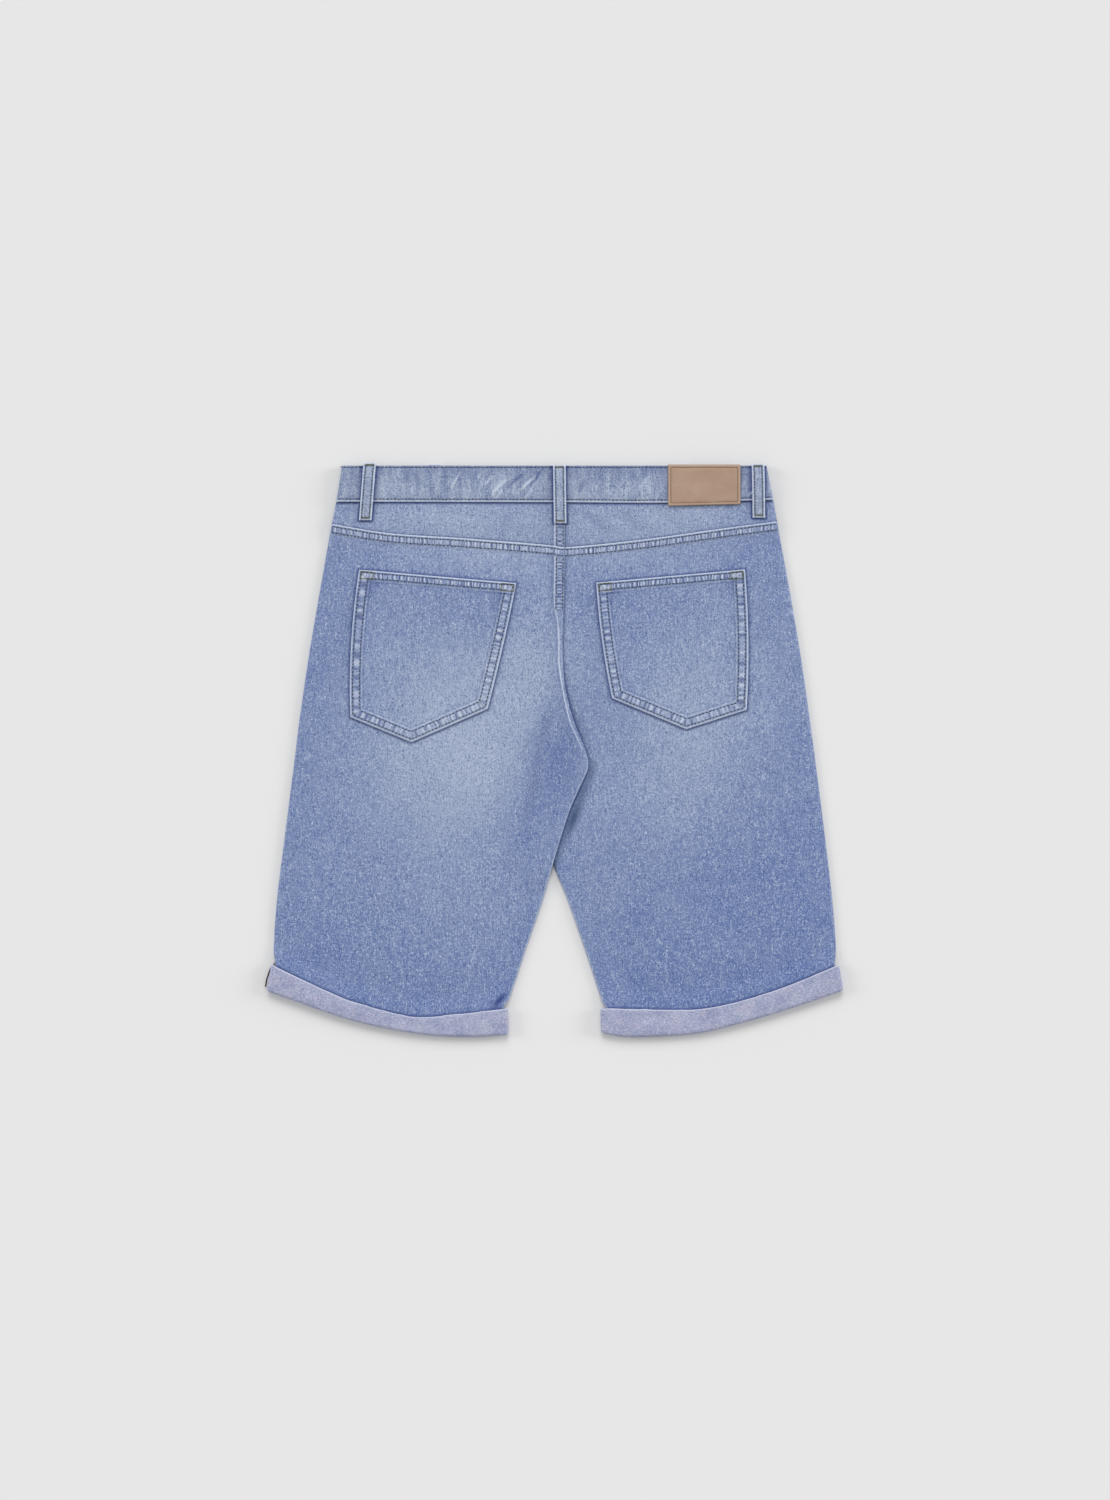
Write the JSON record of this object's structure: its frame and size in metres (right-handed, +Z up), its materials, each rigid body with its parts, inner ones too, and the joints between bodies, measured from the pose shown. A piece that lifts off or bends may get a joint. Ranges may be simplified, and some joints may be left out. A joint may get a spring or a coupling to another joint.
{
  "type": "denim shorts",
  "caption": "Light-wash denim shorts laid flat, back upwards, with patch pockets, yoke, belt loops, a bare leather patch and turned-up hems",
  "frame": {"origin": "on the surface that the shorts lie on, under the middle of the garment's outline", "axes": "+Z is up out of the surface, +Y is towards the waist, +X is to the right as seen from above, which is the wearer's right, because the back is upwards"},
  "size_m": [0.576, 0.5725, 0.011],
  "materials": {
    "denim": "light stonewash twill",
    "denim_band": "light stonewash twill, more faded",
    "denim_wrong_side": "wrong side of the twill",
    "leather": "matte",
    "button_metal": "aged",
    "zip_tape": "woven tape"
  },
  "bodies": {
    "root": {"waistband": "denim_band", "front_left": "denim", "front_right": "denim", "back_left": "denim", "back_right": "denim", "yoke_left": "denim", "yoke_right": "denim", "pocket_back_left": "denim", "pocket_back_right": "denim", "cuff_left_front": "denim_wrong_side", "cuff_left_back": "denim_wrong_side", "cuff_right_front": "denim_wrong_side", "cuff_right_back": "denim_wrong_side", "belt_loop_back_left": "denim_band", "belt_loop_back_centre": "denim_band", "belt_loop_back_right": "denim_band", "belt_loop_front_left": "denim_band", "belt_loop_front_right": "denim_band", "leather_patch": "leather", "waist_button": "button_metal", "fly_zip": "zip_tape"}
  },
  "joints": []
}
